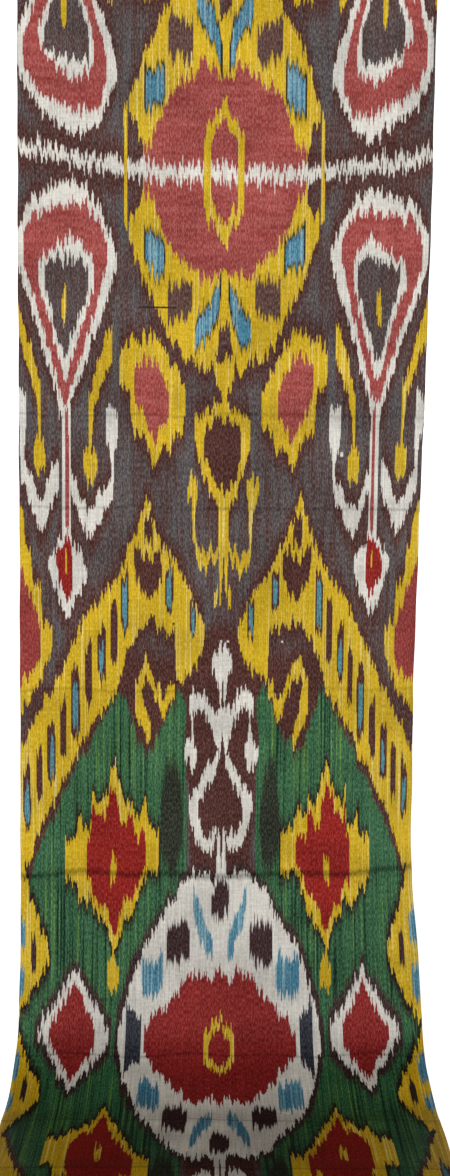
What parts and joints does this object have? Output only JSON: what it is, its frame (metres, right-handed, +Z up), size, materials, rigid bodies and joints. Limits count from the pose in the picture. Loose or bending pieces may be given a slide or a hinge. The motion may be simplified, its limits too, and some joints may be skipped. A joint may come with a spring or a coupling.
{
  "type": "ikat woven cloth",
  "caption": "Long narrow handwoven ikat cloth hung by its top edge, its lower end sweeping forward to lie flat on a surface.",
  "frame": {"origin": "middle of the cloth's top edge, which is held", "axes": "+Z up, the cloth hangs along -Z; the patterned face looks along -Y, and the lower end runs forward along -Y; +X to the right across the warp, seen from the front"},
  "size_m": [0.42, 0.3961, 1.2],
  "materials": {
    "ikat_silk": "warp-faced silk and cotton, soft sheen, resist-dyed in yellow, red, white, green, blue and near-black"
  },
  "bodies": {
    "root": {"ikat_cloth": "ikat_silk"}
  },
  "joints": []
}
